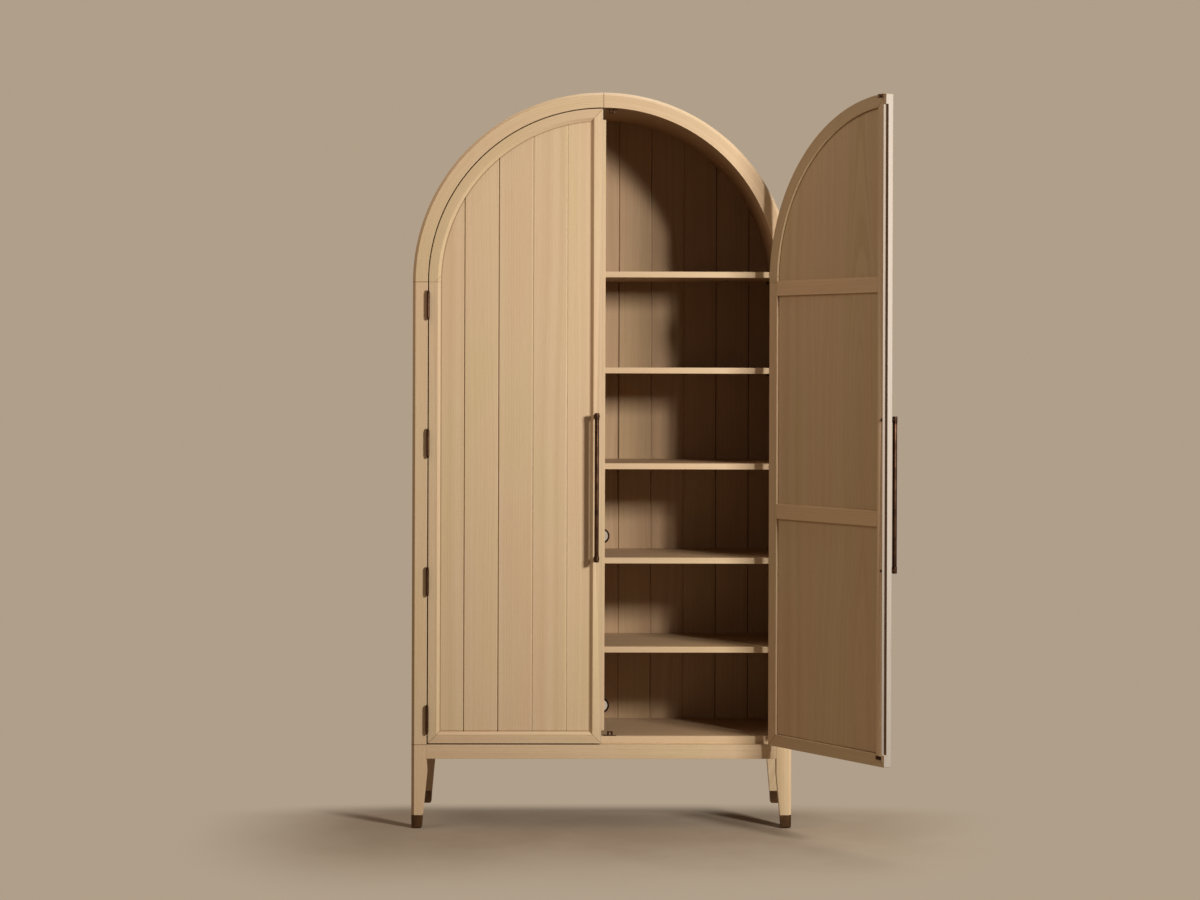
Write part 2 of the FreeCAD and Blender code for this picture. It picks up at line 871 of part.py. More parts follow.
def catch_ball(side):
    outline = []
    for band in range(ball_band_count + 1):
        angle = math.pi * band / ball_band_count
        radius = ball_radius * math.sin(angle) if 0 < band < ball_band_count else 0
        outline.append((radius, -ball_radius * math.cos(angle)))
    middle = Vector(-catch_from_centre + side * ball_centre_offset, ball_y, ball_rise)
    return turned(outline, small_flat_count, middle, SIDEWAYS)


def strike():
    """A plate on the back of the door with a round ended tongue."""
    x = -catch_from_centre
    z = ball_rise - strike_drop
    plate = box(x - strike_width / 2, x + strike_width / 2, door_back, door_back + strike_thickness,
                z - strike_height / 2, z + strike_height / 2)
    y0 = door_back + strike_thickness
    y1 = y0 + tongue_length
    tongue = box(x - tongue_thickness / 2, x + tongue_thickness / 2, door_back, y1,
                 ball_rise - tongue_height / 2, ball_rise + tongue_height / 2)
    bulb = small_rod(tongue_bulb_radius, tongue_height, Vector(x, y1, ball_rise - tongue_height / 2), UP)
    return plate.fuse([tongue, bulb])


def door(has_lip):
    """Every piece of a door, drawn shut on the left."""
    pieces = frame_members()
    if has_lip:
        pieces["meeting_stile"] = pieces["meeting_stile"].cut(lip_strip(glue_clearance))
        pieces["lip"] = lip_strip(0.0)
    else:
        pieces["meeting_stile"] = pieces["meeting_stile"].cut(stopped_rebate())
    pieces["boards"] = door_boards()
    pieces["backing_panel"] = backing_panel()
    pieces["cross_rails"] = cross_rails()
    pieces["hinge_leaves"] = [door_leaf(height) for height in hinge_heights]
    pieces["handle"] = handle()
    pieces["handle_screws"] = handle_screws()
    pieces["strikes"] = [flipped(strike(), seat, direction) for seat, direction in catch_seats().values()]
    return pieces


def listed(piece):
    return piece if isinstance(piece, list) else [piece]


def opened_right(shape):
    """Carries a piece of the shut left door to the right door where it stands open."""
    shape = mirrored_x(shape)
    shape.rotate(Vector(-hinge_x, hinge_y, 0), UP, opening_degrees)
    return shape


def both_sides(shapes):
    return shapes + [mirrored_x(shape) for shape in shapes]


def cabinet():
    nodes = posts_and_arch()
    nodes.update(bottom_boards())
    nodes["back_boards"], nodes["back_centre_board"] = back_boards()
    for number, top in enumerate(shelf_tops, start=1):
        nodes["shelf_" + str(number)] = shelf(top)
    nodes["shelf_pins"] = [shelf_pin(side, place) for top in shelf_tops for side, place in pin_places(top)]
    nodes["cord_grommets"] = [cord_grommet(height) for height in cord_hole_heights()]
    nodes["dowels"] = dowels()
    nodes.update(leg_frame())
    nodes["hinge_case_leaves"] = both_sides([case_leaf(height) for height in hinge_heights])
    nodes["hinge_pins"] = both_sides([hinge_pin(height) for height in hinge_heights])
    seats = catch_seats()
    nodes["catch_housings"] = both_sides(
        [flipped(catch_housing(), seat, direction) for seat, direction in seats.values()])
    for name, (seat, direction) in seats.items():
        for number, side in enumerate((-1, 1), start=1):
            ball = flipped(catch_ball(side), seat, direction)
            nodes["ball_left_" + name + "_" + str(number)] = ball
            nodes["ball_right_" + name + "_" + str(number)] = mirrored_x(ball)
    for name, piece in door(has_lip=True).items():
        nodes["left_" + name] = piece
    for name, piece in door(has_lip=False).items():
        nodes["right_" + name] = [opened_right(shape) for shape in listed(piece)]
    return nodes


os.makedirs("parts", exist_ok=True)
for node, piece in cabinet().items():
    solids = [solid for shape in listed(piece) for solid in shape.Solids]
    shape = solids[0] if len(solids) == 1 else Part.makeCompound(solids)
    shape.exportStep("parts/" + node + ".step")
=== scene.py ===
import math

import bmesh
import bpy
from mathutils import Matrix, Vector


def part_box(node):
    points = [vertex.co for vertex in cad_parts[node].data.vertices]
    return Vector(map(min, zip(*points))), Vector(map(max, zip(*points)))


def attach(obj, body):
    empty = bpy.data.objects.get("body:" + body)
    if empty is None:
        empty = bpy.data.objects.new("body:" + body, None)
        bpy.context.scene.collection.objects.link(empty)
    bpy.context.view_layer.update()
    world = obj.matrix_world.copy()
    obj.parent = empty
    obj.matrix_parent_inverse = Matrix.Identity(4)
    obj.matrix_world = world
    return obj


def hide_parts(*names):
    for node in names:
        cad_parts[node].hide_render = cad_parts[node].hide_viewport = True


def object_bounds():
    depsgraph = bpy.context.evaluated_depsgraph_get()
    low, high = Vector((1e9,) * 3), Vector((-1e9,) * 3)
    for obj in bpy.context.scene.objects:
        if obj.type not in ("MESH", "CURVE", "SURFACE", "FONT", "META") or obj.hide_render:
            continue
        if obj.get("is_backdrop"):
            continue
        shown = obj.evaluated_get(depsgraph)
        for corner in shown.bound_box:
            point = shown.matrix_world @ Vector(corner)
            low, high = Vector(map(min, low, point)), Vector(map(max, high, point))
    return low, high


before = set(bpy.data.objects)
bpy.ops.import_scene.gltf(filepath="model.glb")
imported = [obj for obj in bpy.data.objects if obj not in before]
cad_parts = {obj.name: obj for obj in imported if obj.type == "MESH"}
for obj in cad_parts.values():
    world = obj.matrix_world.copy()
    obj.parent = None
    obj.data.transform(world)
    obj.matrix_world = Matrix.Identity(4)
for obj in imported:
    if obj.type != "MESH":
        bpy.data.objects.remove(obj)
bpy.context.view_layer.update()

# Sizes and places that repeat the CAD model's own. Those of doors, hinges, handles and catches are for the
# left door.
FRONT = -0.2285
BACK_FACE = 0.1835
LEG_TOP = 0.246
BOTTOM_TOP = 0.268
SPRINGING = 1.605
INNER_RADIUS = 0.5145
BACK_PITCH = 0.101
SHELF_TOPS = (0.5315, 0.7945, 1.073, 1.356, 1.6395)
SHELF_THICKNESS = 0.018
SHELF_PIN_ROWS = (FRONT + 0.082, BACK_FACE - 0.050)
PADDLE_RISE = 0.0041
CORD_HOLE_RISE = 0.038

DOOR_RADIUS = 0.511
DOOR_BACK = FRONT + 0.0254
DOOR_LOW = 0.250
MEETING_EDGE = -0.0015
FRAME_WIDTH = 0.0345
PANEL_RADIUS = DOOR_RADIUS - FRAME_WIDTH
DOOR_PITCH = 0.1006
REBATE_WIDTH = 0.0107
REBATE_DEPTH = 0.0084
OPENING = math.radians(125)

HINGE_X = 0.51275
HINGE_Y = FRONT - 0.0065
HINGE_HEIGHTS = (0.3205, 0.726, 1.1315, 1.537)
LEAF_HEIGHT = 0.070
LEAF_DEPTH = 0.022
LEAF_THICKNESS = 0.002
KNUCKLE_COUNT = 5
KNUCKLE_GAP = 0.0004
KNUCKLE = (LEAF_HEIGHT - (KNUCKLE_COUNT - 1) * KNUCKLE_GAP) / KNUCKLE_COUNT
HINGE_PIN_RADIUS = 0.0025

HANDLE_X = -0.017
HANDLE_Y = FRONT - 0.024
HANDLE_Z = 1.003
HANDLE_HALF = 0.21875
POST_HALF = 0.20925

CATCH_X = -0.0244
CATCH_FRONT = DOOR_BACK + 0.0026
CATCH_DEPTH = 0.009
FLANGE_HALF = 0.019
BALL_RISE = 0.0085
BALL_RADIUS = 0.0023
CATCH_SEATS = ((BOTTOM_TOP, 1), (SPRINGING + math.sqrt(INNER_RADIUS ** 2 - (FLANGE_HALF - CATCH_X) ** 2), -1))

# The hinge barrel is drawn slimmer than the CAD model's. The screws of the leaves, each with a height and a
# depth, and the crossed slots of all screws are drawn here alone.
BARREL = 0.0046
LEAF_SCREWS = ((-0.024, 0.0135), (0.0, 0.0095), (0.024, 0.0135))
CROSS_SLOT = 0.0008
CATCH_SLOT = 0.0006

# What is drawn once, on the left, is mirrored to the right. The right door stands open at rest.
MIRROR = Matrix.Scale(-1, 4, (1, 0, 0))
RIGHT_AXIS = Vector((HINGE_X, HINGE_Y, 0))
OPENED = (Matrix.Translation(RIGHT_AXIS) @ Matrix.Rotation(OPENING, 4, "Z")
          @ Matrix.Translation(-RIGHT_AXIS) @ MIRROR)
ONCE = (Matrix.Identity(4),)
BOTH_SIDES = (Matrix.Identity(4), MIRROR)
DOORS = (("left", "left_door", Matrix.Identity(4)), ("right", "right_door", OPENED))


# Materials

class Graph:
    """The nodes of one material."""

    def __init__(self, name):
        self.material = bpy.data.materials.new(name)
        self.material.use_nodes = True
        self.tree = self.material.node_tree
        self.tree.nodes.clear()

    def put(self, kind, inputs=None, **settings):
        node = self.tree.nodes.new("ShaderNode" + kind)
        for key, value in settings.items():
            setattr(node, key, value)
        for key, value in (inputs or {}).items():
            if isinstance(value, bpy.types.NodeSocket):
                self.tree.links.new(value, node.inputs[key])
            else:
                node.inputs[key].default_value = value
        return node

    def math(self, operation, *values):
        return self.put("Math", dict(enumerate(values)), operation=operation).outputs[0]

    def gap(self, value, wanted):
        """How far a value is from the one that is wanted."""
        return self.math("ABSOLUTE", self.math("SUBTRACT", value, wanted))

    def length(self, first, second):
        """The long side of a right-angled triangle with two given sides."""
        squares = [self.math("MULTIPLY", side, side) for side in (first, second)]
        return self.math("SQRT", self.math("ADD", *squares))

    def split(self, vector):
        return self.put("SeparateXYZ", {0: vector}).outputs

    def dot(self, vector, direction):
        return self.put("VectorMath", {0: vector, 1: direction}, operation="DOT_PRODUCT").outputs["Value"]

    def scaled(self, places, scales):
        """A vector of three values, each with a scale of its own."""
        parts = [self.math("MULTIPLY", place, scale) for place, scale in zip(places, scales)]
        return self.put("CombineXYZ", dict(enumerate(parts))).outputs[0]

    def noise(self, vector, scale=1.0, detail=2.0, roughness=0.5):
        node = self.put("TexNoise", {"Vector": vector, "Scale": scale, "Detail": detail,
                                     "Roughness": roughness})
        return node.outputs["Fac"]

    def line_noise(self, place, detail, roughness=0.5):
        node = self.put("TexNoise", {"W": place, "Scale": 1.0, "Detail": detail, "Roughness": roughness},
                        noise_dimensions="1D")
        return node.outputs["Fac"]

    def spread(self, value, low, high, to_low=0.0, to_high=1.0, smooth=False):
        """A value's place between two limits, as a place between two others."""
        node = self.put("MapRange", {"Value": value, "From Min": low, "From Max": high,
                                     "To Min": to_low, "To Max": to_high},
                        interpolation_type="SMOOTHSTEP" if smooth else "LINEAR")
        return node.outputs["Result"]

    def mix(self, share, first, second, blend="MIX"):
        node = self.put("Mix", {0: share, 6: first, 7: second}, data_type="RGBA", blend_type=blend)
        return node.outputs[2]

    def tint(self, share, colour, tint):
        """A colour multiplied by a tint, as far as the share says."""
        return self.mix(share, colour, self.mix(1.0, colour, (*tint, 1.0), "MULTIPLY"))

    def finish(self, shader):
        output = self.put("OutputMaterial")
        self.tree.links.new(shader, output.inputs["Surface"])
        return self.material


def linear(red, green, blue):
    """A colour given as 0 to 255 on a screen, as the shaders want it."""
    values = []
    for part in (red, green, blue):
        part /= 255
        values.append(part / 12.92 if part <= 0.04045 else ((part + 0.055) / 1.055) ** 2.4)
    return (*values, 1.0)


def grain_place(graph, place, grain):
    """Coordinates in which the grain runs along the third one."""
    x, y, z = graph.split(place)
    if grain == "upright":
        return x, y, z
    if grain == "across":
        return z, y, x
    if grain == "deep":
        return z, x, y
    rise = graph.math("SUBTRACT", z, SPRINGING)
    return graph.length(x, rise), y, graph.math("MULTIPLY", graph.math("ARCTAN2", rise, x), INNER_RADIUS)


def nearness(graph, place, planes, fade, strength=1.0, rim=0.0):
    """Falls from a strength to nothing over a fade, two distances from the nearest of some planes and a rim.

    The rim is a radius round the arch's centre, and goes straight down below the springing.
    """
    nearest = 1.0
    for direction, distance in planes:
        nearest = graph.math("MINIMUM", nearest, graph.gap(graph.dot(place, direction), distance))
    if rim:
        x, _, z = graph.split(place)
        rise = graph.math("MAXIMUM", graph.math("SUBTRACT", z, SPRINGING), 0.0)
        nearest = graph.math("MINIMUM", nearest, graph.gap(graph.length(x, rise), rim))
    return graph.spread(nearest, *fade, strength, 0.0, smooth=True)


# Colours of the wood, and the tints that are multiplied into them
PALE_OAK = linear(212, 188, 154)
DARK_OAK = linear(195, 167, 130)
ROSY = (1.0, 0.962, 0.945)
OLIVE = (0.985, 0.99, 0.925)
PORE = (0.62, 0.54, 0.46)
SEAM = (0.42, 0.33, 0.25)
# Painted shade for the corners round a door's panel, where it meets the frame
CORNER_SHADE = (0.45, 0.36, 0.28)
# Painted shade on the faces inside the case
INSIDE_SHADE = (0.72, 0.645, 0.59)
# Painted highlight: a paler, cooler tint that whitens the doors' brightly lit free edges
EDGE_HIGHLIGHT = (0.55, 0.65, 0.89)
# Painted highlight of the same kind on the open door's rebate wall
REBATE_WALL_HIGHLIGHT = (0.43, 0.48, 0.62)
# Painted shade on the floor of the open door's rebate
REBATE_FLOOR_SHADE = (0.24, 0.18, 0.12)
CROSS_RAIL = (1.18, 1.16, 1.15)

# How fast each pattern changes: in a metre across the grain, from one board to the next, and in a metre along
# the grain
DRIFT_SCALE = (3.0, 3.7, 0.9)
HUE_SCALE = (7.0, 1.9, 1.6)
# The same in a metre across the grain, in depth, and along the grain
FINE_SCALE = (900.0, 900.0, 14.0)
PORE_SCALE = (1700.0, 1700.0, 55.0)
# The same in a metre outwards from the heart of the tree
BAND_SCALE = 42.0
RING_SCALE = 330.0
# How far the heart may lie from the middle of the cabinet, and boards may be shifted along the tree
HEART_ACROSS = (-0.5, 0.5)
HEART_DEEP = (0.10, 0.34)
BOARD_SHIFT = 9.0
# Over which distances from a seam, a shaded corner or a tinted face its tint fades out
SEAM_FADE = (0.0004, 0.0016)
CORNER_SHADE_FADE = (0.0005, 0.0050)
FACE_FADE = (0.0006, 0.0010)
VAULT_FADE = (0.0030, 0.0040)
BOUND_FADE = 0.0004


def oak(name, grain, seed, pitch=0.0, start=0.0, tone=(1.0, 1.0, 1.0), opened=False, wander=0.020,
        seams=(), faint=(), corners=(), rim=0.0, faces=()):
    """Pale rift-sawn oak: growth rings cut nearly straight, with pores and a slow drift of colour.

    A pitch and a start part the piece into boards. Seams are glued joints, with a dark line or a faint one.
    Corners get painted shade near some planes and a rim. Faces have a tint of their own, on some a painted
    shade or highlight: each has a plane or a radius, the tint, and a direction with two distances that bound
    it.
    """
    graph = Graph("oak_" + name)
    place = graph.put("TexCoord").outputs["Object"]
    if opened:
        place = graph.put("VectorRotate", {"Vector": place, "Center": RIGHT_AXIS, "Angle": -OPENING},
                          rotation_type="Z_AXIS").outputs[0]
    across, depth, along = grain_place(graph, place, grain)
    number = seed
    if pitch:
        board = graph.math("FLOOR", graph.math("DIVIDE", graph.math("SUBTRACT", across, start), pitch))
        number = graph.math("ADD", board, seed)
    chance = graph.put("TexWhiteNoise", {"W": number}, noise_dimensions="1D")
    first, second, third = graph.put("SeparateColor", {0: chance.outputs["Color"]}).outputs
    along = graph.math("ADD", along, graph.math("MULTIPLY", third, BOARD_SHIFT))

    # The heart of the tree mostly lies well away, so that its rings meet the face as nearly straight lines
    slow = graph.scaled((across, number, along), DRIFT_SCALE)
    drift = graph.put("TexNoise", {"Vector": slow, "Scale": 1.0, "Detail": 1.5, "Roughness": 0.45})
    drift_x, drift_y, _ = graph.put("SeparateColor", {0: drift.outputs["Color"]}).outputs
    heart_x, heart_y = [graph.math("ADD", graph.spread(share, 0, 1, *reach),
                                   graph.spread(bend, 0, 1, -wander, wander))
                        for share, reach, bend in ((first, HEART_ACROSS, drift_x),
                                                   (second, HEART_DEEP, drift_y))]
    ring_place = graph.length(graph.math("ADD", across, heart_x), graph.math("ADD", depth, heart_y))
    bands = graph.line_noise(graph.math("MULTIPLY", ring_place, BAND_SCALE), detail=1.0)
    rings = graph.line_noise(graph.math("MULTIPLY", ring_place, RING_SCALE), detail=3.0, roughness=0.62)
    fine = graph.noise(graph.scaled((across, depth, along), FINE_SCALE), detail=2.0, roughness=0.6)
    pores = graph.noise(graph.scaled((across, depth, along), PORE_SCALE), detail=1.0)
    early = graph.spread(rings, 0.45, 0.62, 0.25, 1.0, smooth=True)
    pores = graph.math("MULTIPLY", graph.spread(pores, 0.60, 0.72, smooth=True), early)

    lines = graph.math("ADD", graph.math("MULTIPLY", bands, 0.34), graph.math("MULTIPLY", rings, 0.66))
    lines = graph.math("ADD", lines, graph.spread(fine, 0.3, 0.7, -0.12, 0.12))
    pale, dark = [tuple(part * share for part, share in zip(colour, (*tone, 1.0)))
                  for colour in (PALE_OAK, DARK_OAK)]
    colour = graph.mix(graph.spread(lines, 0.20, 0.80), pale, dark)
    hue = graph.noise(graph.scaled((across, number, along), HUE_SCALE), detail=1.0)
    colour = graph.tint(graph.spread(hue, 0.40, 0.66, smooth=True), colour, ROSY)
    colour = graph.tint(graph.spread(hue, 0.55, 0.33, smooth=True), colour, OLIVE)
    colour = graph.tint(graph.math("MULTIPLY", pores, 0.40), colour, PORE)
    bright = graph.spread(chance.outputs["Value"], 0, 1, 0.955, 1.04)
    colour = graph.put("HueSaturation", {"Color": colour, "Value": bright}).outputs[0]
    for planes, strength in ((seams, 1.0), (faint, 0.45)):
        if planes:
            colour = graph.tint(nearness(graph, place, planes, SEAM_FADE, strength), colour, SEAM)
    # Painted shade in the corners, near the given planes and rim
    if corners:
        colour = graph.tint(nearness(graph, place, corners, CORNER_SHADE_FADE, 0.75, rim), colour, CORNER_SHADE)
    # Some face tints are painted shade, some a painted highlight
    for face, tint, bound in faces:
        if isinstance(face, float):
            near = nearness(graph, place, (), VAULT_FADE, rim=face)
        else:
            near = nearness(graph, place, (face,), FACE_FADE)
        if bound:
            direction, low, high = bound
            reach = graph.dot(place, direction)
            inside = graph.math("MULTIPLY", graph.spread(reach, low, low + BOUND_FADE),
                                graph.spread(reach, high, high - BOUND_FADE))
            near = graph.math("MULTIPLY", near, inside)
        colour = graph.tint(near, colour, tint)

    height = graph.math("SUBTRACT", graph.math("MULTIPLY", rings, 0.5), pores)
    height = graph.math("ADD", height, graph.math("MULTIPLY", fine, 0.25))
    bump = graph.put("Bump", {"Height": height, "Strength": 0.35, "Distance": 0.00025}).outputs[0]
    rough = graph.math("ADD", graph.spread(rings, 0.3, 0.7, 0.50, 0.60), graph.math("MULTIPLY", pores, 0.12))
    shader = graph.put("BsdfPrincipled", {"Base Color": colour, "Roughness": rough, "Normal": bump,
                                          "Specular IOR Level": 0.30})
    return graph.finish(shader.outputs[0])


# How fast the brushing of metal changes in a metre: it runs upwards
BRUSHING_SCALE = (2400.0, 2400.0, 160.0)


def metal(name, dark, light, roughness, wear, patchiness):
    """Aged metal: darker in patches, rubbed lighter elsewhere, with fine brushing.

    Wear is how far its roughness varies either way, patchiness how fast its patches change in a metre.
    """
    graph = Graph(name)
    place = graph.put("TexCoord").outputs["Object"]
    patches = graph.noise(place, scale=patchiness, detail=4.0, roughness=0.62)
    stretched = graph.put("Mapping", {"Vector": place, "Scale": BRUSHING_SCALE}).outputs[0]
    brushed = graph.noise(stretched, detail=2.0)
    edge = graph.spread(graph.put("NewGeometry").outputs["Pointiness"], 0.50, 0.60, smooth=True)
    colour = graph.mix(graph.spread(patches, 0.36, 0.68, smooth=True), dark, light)
    colour = graph.mix(graph.math("MULTIPLY", edge, 0.35), colour, light)
    rough = graph.math("ADD", graph.spread(patches, 0.3, 0.7, roughness + wear, roughness - wear),
                       graph.spread(brushed, 0.3, 0.7, -0.04, 0.04))
    height = graph.math("ADD", graph.math("MULTIPLY", brushed, 0.4), patches)
    bump = graph.put("Bump", {"Height": height, "Strength": 0.12, "Distance": 0.0001}).outputs[0]
    shader = graph.put("BsdfPrincipled", {"Base Color": colour, "Metallic": 1.0, "Roughness": rough,
                                          "Normal": bump})
    return graph.finish(shader.outputs[0])


BRONZE = metal("oiled_bronze", linear(50, 33, 24), linear(84, 59, 43), 0.44, 0.05, 34.0)
CAP_BRONZE = metal("bronze_caps", linear(84, 62, 45), linear(116, 90, 64), 0.42, 0.05, 34.0)
STEEL = metal("polished_steel", linear(206, 203, 198), linear(240, 238, 234), 0.28, 0.04, 900.0)


def upright(x):
    """The plane that faces sideways at a place, as a direction and a distance."""
    return (1, 0, 0), x


def facing(y):
    """The plane that faces the front at a place."""
    return (0, 1, 0), y


def level(z):
    """The level plane at a height."""
    return (0, 0, 1), z


def mitre(sign, first, second):
    """The plane of a mitre through two (x, z) points of the left door, or of its mirror image."""
    along = Vector((sign * (second[0] - first[0]), 0, second[1] - first[1])).normalized()
    normal = Vector((along.z, 0, -along.x))
    return tuple(normal), normal.dot(Vector((sign * first[0], 0, first[1])))


# The oak of each piece. Painted shade darkens the case's inner faces from a little behind its front, and the
# bottom, back boards and shelves all over but for a shelf's front edge. A shelf is glued up from boards, a
# door's backing panel from wider sheets.
OAK = {}
SHELF_PITCH = 0.12
SHEET_PITCH = 0.24
LEVEL_SEAM, LEG_SEAM, CROWN_SEAM = level(SPRINGING), level(LEG_TOP), upright(0.0)
FRONT_LINE = 0.0010
WITHIN = (*facing(FRONT + FRONT_LINE), -FRONT - FRONT_LINE)
for name, sign, seed in (("left", -1, 3.0), ("right", 1, 17.0)):
    OAK["side_" + name] = oak("side_" + name, "upright", seed, seams=(LEVEL_SEAM, LEG_SEAM),
                              faces=((upright(sign * INNER_RADIUS), INSIDE_SHADE, WITHIN),))
for name, seed in (("arch_left", 29.0), ("arch_right", 31.0)):
    OAK[name] = oak(name, "bent", seed, seams=(LEVEL_SEAM, CROWN_SEAM),
                    faces=((INNER_RADIUS, INSIDE_SHADE, WITHIN),))
for name, grain, seed in (("bottom_lipping", "across", 43.0), ("dowels", "upright", 61.0),
                          ("apron_front", "across", 67.0), ("apron_back", "across", 71.0),
                          ("apron_left", "deep", 73.0), ("apron_right", "deep", 79.0),
                          ("left_lip", "upright", 239.0)):
    OAK[name] = oak(name, grain, seed)
OAK["bottom_panel"] = oak("bottom_panel", "across", 41.0, tone=INSIDE_SHADE)
OAK["back_boards"] = oak("back_boards", "upright", 53.0, BACK_PITCH, -BACK_PITCH / 2, tone=INSIDE_SHADE)
OAK["back_centre_board"] = OAK["back_boards"]
for number in range(len(SHELF_TOPS)):
    name = f"shelf_{number + 1}"
    # A shelf's front edge takes the painted shade back off
    front_edge = (facing(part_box(name)[0].y), tuple(1 / part for part in INSIDE_SHADE), None)
    OAK[name] = oak(name, "across", 83.0 + 7 * number, SHELF_PITCH, tone=INSIDE_SHADE, faces=(front_edge,))
for number, name in enumerate(("leg_front_left", "leg_front_right", "leg_back_left", "leg_back_right")):
    OAK[name] = oak(name, "upright", 127.0 + 11 * number, seams=(LEG_SEAM,))

# The oak of the doors: a frame with mitred corners round a panel, with painted shade along the panel's edges
OUTER_CROWN = SPRINGING + math.sqrt(DOOR_RADIUS ** 2 - MEETING_EDGE ** 2)
INNER_CROWN = SPRINGING + math.sqrt(PANEL_RADIUS ** 2 - (MEETING_EDGE - FRAME_WIDTH) ** 2)
for side, is_opened, sign, seed in (("left_", False, 1, 0.0), ("right_", True, -1, 400.0)):
    start = sign * (-DOOR_RADIUS / 2 - DOOR_PITCH / 2)
    inner_x, inner_z = MEETING_EDGE - FRAME_WIDTH, DOOR_LOW + FRAME_WIDTH
    shaded_panel_edges = (upright(sign * -PANEL_RADIUS), upright(sign * inner_x), level(inner_z))
    hinge_corner = mitre(sign, (-DOOR_RADIUS, DOOR_LOW), (-PANEL_RADIUS, inner_z))
    meeting_corner = mitre(sign, (MEETING_EDGE, DOOR_LOW), (inner_x, inner_z))
    crown_corner = mitre(sign, (MEETING_EDGE, OUTER_CROWN), (inner_x, INNER_CROWN))
    # Each free edge gets the painted highlight tint
    meeting_faces = [(upright(sign * MEETING_EDGE), EDGE_HIGHLIGHT, None)]
    # The open door alone gets a painted highlight on its rebate wall and painted shade on the rebate floor
    if is_opened:
        step = DOOR_BACK - REBATE_DEPTH
        wall = REBATE_WIDTH - MEETING_EDGE
        meeting_faces += [(upright(wall), REBATE_WALL_HIGHLIGHT, (*facing(step), 1.0)),
                          (facing(step), REBATE_FLOOR_SHADE, (*upright(-MEETING_EDGE + BOUND_FADE), wall))]
    for part, grain, number, faint, faces in (
        ("hinge_stile", "upright", 181.0, (hinge_corner, LEVEL_SEAM), ()),
        ("meeting_stile", "upright", 191.0, (meeting_corner, crown_corner), meeting_faces),
        ("bottom_rail", "across", 193.0, (hinge_corner, meeting_corner), ()),
        ("arch_rail", "bent", 197.0, (crown_corner, LEVEL_SEAM), ()),
    ):
        OAK[side + part] = oak(side + part, grain, seed + number, opened=is_opened, faint=faint, faces=faces)
    name = side + "cross_rails"
    OAK[name] = oak(name, "across", seed + 199.0, tone=CROSS_RAIL, opened=is_opened)
    for part, number, pitch, wander in (("boards", 211.0, DOOR_PITCH, 0.020),
                                        ("backing_panel", 233.0, SHEET_PITCH, 0.045)):
        OAK[side + part] = oak(side + part, "upright", seed + number, pitch, start, opened=is_opened,
                               wander=wander, corners=shaded_panel_edges, rim=PANEL_RADIUS)


# Eased edges on the CAD wood

def smooth_curves():
    """A modifier group that shades curved faces smoothly and keeps real edges sharp."""
    group = bpy.data.node_groups.new("smooth_curves", "GeometryNodeTree")
    for direction in ("INPUT", "OUTPUT"):
        group.interface.new_socket("Geometry", in_out=direction, socket_type="NodeSocketGeometry")
    nodes, links = group.nodes, group.links
    start, end = nodes.new("NodeGroupInput"), nodes.new("NodeGroupOutput")
    faces = nodes.new("GeometryNodeSetShadeSmooth")
    edges = nodes.new("GeometryNodeSetShadeSmooth")
    edges.domain = "EDGE"
    angle = nodes.new("GeometryNodeInputMeshEdgeAngle")
    flat = nodes.new("FunctionNodeCompare")
    flat.operation = "LESS_THAN"
    flat.inputs[1].default_value = math.radians(20)
    links.new(start.outputs[0], faces.inputs["Geometry"])
    links.new(faces.outputs[0], edges.inputs["Geometry"])
    links.new(angle.outputs["Unsigned Angle"], flat.inputs[0])
    links.new(flat.outputs[0], edges.inputs["Shade Smooth"])
    links.new(edges.outputs[0], end.inputs[0])
    return group


SMOOTH = smooth_curves()
WOOD_ROUNDING = 0.0007
CAP_ROUNDING = 0.0016


def dress(made, material, width, segments=2):
    """Gives an object with a CAD mesh its material, and rounds its edges a little, as sandpaper does."""
    made.data.materials.clear()
    made.data.materials.append(material)
    weld = made.modifiers.new("weld", "WELD")
    weld.merge_threshold = 0.00002
    plane = made.modifiers.new("plane", "DECIMATE")
    plane.decimate_type = "DISSOLVE"
    plane.angle_limit = math.radians(0.5)
    smooth = made.modifiers.new("smooth", "NODES")
    smooth.node_group = SMOOTH
    bevel = made.modifiers.new("bevel", "BEVEL")
    bevel.width = width
    bevel.segments = segments
    bevel.limit_method = "ANGLE"
    bevel.angle_limit = math.radians(28)
    bevel.harden_normals = True
    bevel.miter_outer = "MITER_ARC"


for name, material in OAK.items():
    dress(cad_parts[name], material, WOOD_ROUNDING)


# Shapes for the hardware

def softened(outline, radius, steps=3):
    """An outline whose corners are rounded, each by no more than its sides allow."""
    points = [Vector(point) for point in outline]
    result = [points[0]]
    for before, corner, after in zip(points, points[1:], points[2:]):
        back, ahead = before - corner, after - corner
        reach = min(radius, back.length * 0.45, ahead.length * 0.45)
        start, end = corner + back.normalized() * reach, corner + ahead.normalized() * reach
        for step in range(steps + 1):
            share = step / steps
            result.append(start * (1 - share) ** 2 + corner * (2 * share * (1 - share)) + end * share ** 2)
    result.append(points[-1])
    return [tuple(point) for point in result]


def turned(shape, outline, base, direction, steps, ring=False):
    """Turns (radius, height) points about a line. A ring's outline closes on itself."""
    turn = Vector(direction).to_track_quat("Z", "X").to_matrix()
    rows = []
    for radius, height in outline:
        count = steps if radius > 1e-7 else 1
        rows.append([shape.verts.new(Vector(base) + turn @ Vector((radius * math.cos(math.tau * n / steps),
                                                                   radius * math.sin(math.tau * n / steps),
                                                                   height))) for n in range(count)])
    pairs = list(zip(rows, rows[1:])) + ([(rows[-1], rows[0])] if ring else [])
    for low, high in pairs:
        for n in range(steps):
            after = (n + 1) % steps
            corners = [low[n % len(low)], low[after % len(low)], high[after % len(high)], high[n % len(high)]]
            shape.faces.new(list(dict.fromkeys(corners)))


